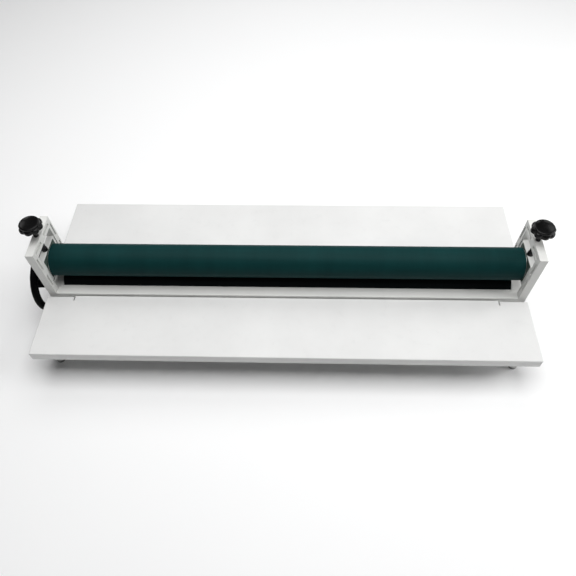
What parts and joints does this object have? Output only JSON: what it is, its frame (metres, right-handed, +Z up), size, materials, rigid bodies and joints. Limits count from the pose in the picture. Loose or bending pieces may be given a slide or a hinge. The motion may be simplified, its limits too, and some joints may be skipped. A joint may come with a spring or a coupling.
{
  "type": "cold roll laminator",
  "caption": "Hand-driven cold roll laminator: two long rubber rollers between cast end frames, pressure knobs, a hand wheel and a tray table before and behind them.",
  "frame": {"origin": "middle of the whole machine's footprint, hand wheel included, on the floor plane that the posts and pads stand on", "axes": "+X along the rollers, away from the hand wheel; +Y from the operator's front table to the rear table; +Z up"},
  "size_m": [1.0926, 0.4174, 0.2685],
  "materials": {
    "table_enamel": "white powder coat, fine satin texture",
    "frame_enamel": "white enamel on a cast frame, satin",
    "block_enamel": "white enamel on bearing blocks, satin",
    "plated_bar": "drawn and plated steel bar",
    "black_screw": "black oxide screws",
    "spring_steel": "phosphated spring steel",
    "blackened_steel": "black oxide steel, oiled",
    "zinc_hardware": "bright zinc plate",
    "spacer_rubber": "black rubber washers",
    "post_metal": "grey turned aluminium",
    "pad_rubber": "grey rubber",
    "bronze_bush": "sintered bronze",
    "brass_insert": "turned brass",
    "spring_wire": "drawn spring wire",
    "green_silicone": "dark teal-green silicone rubber, ground, soft sheen",
    "black_rubber": "black rubber, ground",
    "roller_steel": "turned steel",
    "bright_ring": "bright faced steel ring",
    "knob_plastic": "black moulded phenolic, glossy",
    "plate_nylon": "black nylon thrust plates",
    "wheel_plastic": "black moulded plastic"
  },
  "bodies": {
    "base": {"front_table": "table_enamel", "rear_table": "table_enamel", "front_bed_rail": "frame_enamel", "rear_bed_rail": "frame_enamel", "left_end_frame": "frame_enamel", "right_end_frame": "frame_enamel", "front_tie_bar": "plated_bar", "rear_tie_bar": "plated_bar", "tie_bar_screws": "black_screw", "rail_screws": "zinc_hardware", "block_screws": "black_screw", "frame_pads": "pad_rubber", "front_table_screws": "zinc_hardware", "rear_table_screws": "zinc_hardware", "front_table_spacers": "spacer_rubber", "rear_table_spacers": "spacer_rubber", "front_table_nuts": "zinc_hardware", "rear_table_nuts": "zinc_hardware", "table_posts": "post_metal", "post_studs": "zinc_hardware", "post_pads": "pad_rubber", "left_lower_block": "block_enamel", "right_lower_block": "block_enamel", "left_lower_bush": "bronze_bush", "right_lower_bush": "bronze_bush", "left_lift_spring": "spring_wire", "right_lift_spring": "spring_wire"},
    "left_upper_carriage": {"left_upper_block": "block_enamel", "left_upper_bush": "bronze_bush", "left_thrust_plate": "plate_nylon", "left_pressure_foot": "blackened_steel"},
    "right_upper_carriage": {"right_upper_block": "block_enamel", "right_upper_bush": "bronze_bush", "right_thrust_plate": "plate_nylon", "right_pressure_foot": "blackened_steel"},
    "upper_roller": {"upper_roller_tube": "roller_steel", "upper_roller_rubber": "green_silicone", "upper_roller_journals": "roller_steel", "upper_roller_rings": "bright_ring", "upper_roller_clips": "spring_steel"},
    "lower_roller": {"lower_roller_tube": "roller_steel", "lower_roller_rubber": "black_rubber", "drive_journal": "roller_steel", "idle_journal": "roller_steel", "lower_roller_clips": "spring_steel", "hand_wheel": "wheel_plastic", "wheel_key": "zinc_hardware", "wheel_washer": "zinc_hardware", "wheel_bolt": "zinc_hardware"},
    "left_screw": {"left_pressure_screw": "blackened_steel", "left_knob": "knob_plastic", "left_knob_insert": "brass_insert"},
    "right_screw": {"right_pressure_screw": "blackened_steel", "right_knob": "knob_plastic", "right_knob_insert": "brass_insert"}
  },
  "joints": [
    {"name": "hand_wheel_turn", "type": "hinge", "parent": "base", "child": "lower_roller", "pos_m": [0.01158, -0.00625, 0.0792], "axis": [1, 0, 0], "continuous": true},
    {"name": "left_lift", "type": "slide", "parent": "base", "child": "left_upper_carriage", "axis": [0, 0, 1], "range_m": [0, 0.018], "deforming": ["left_lift_spring"]},
    {"name": "right_lift", "type": "slide", "parent": "base", "child": "right_upper_carriage", "axis": [0, 0, 1], "range_m": [0, 0.018], "deforming": ["right_lift_spring"]},
    {"name": "upper_roller_turn", "type": "hinge", "parent": "left_upper_carriage", "child": "upper_roller", "pos_m": [0.01158, -0.00625, 0.1495], "axis": [1, 0, 0], "continuous": true},
    {"name": "left_knob_turn", "type": "hinge", "parent": "left_upper_carriage", "child": "left_screw", "pos_m": [-0.49867, -0.00625, 0.1495], "axis": [0, 0, 1], "range_deg": [0, 4321]},
    {"name": "right_knob_turn", "type": "hinge", "parent": "right_upper_carriage", "child": "right_screw", "pos_m": [0.52182, -0.00625, 0.1495], "axis": [0, 0, 1], "range_deg": [0, 4321]}
  ],
  "couplings": [
    {"joint": "right_lift", "follows": "left_lift", "ratio": 1},
    {"joint": "left_knob_turn", "follows": "left_lift", "rad_per_m": 4188.8},
    {"joint": "right_knob_turn", "follows": "left_lift", "rad_per_m": 4188.8},
    {"joint": "upper_roller_turn", "follows": "hand_wheel_turn", "ratio": -1}
  ]
}
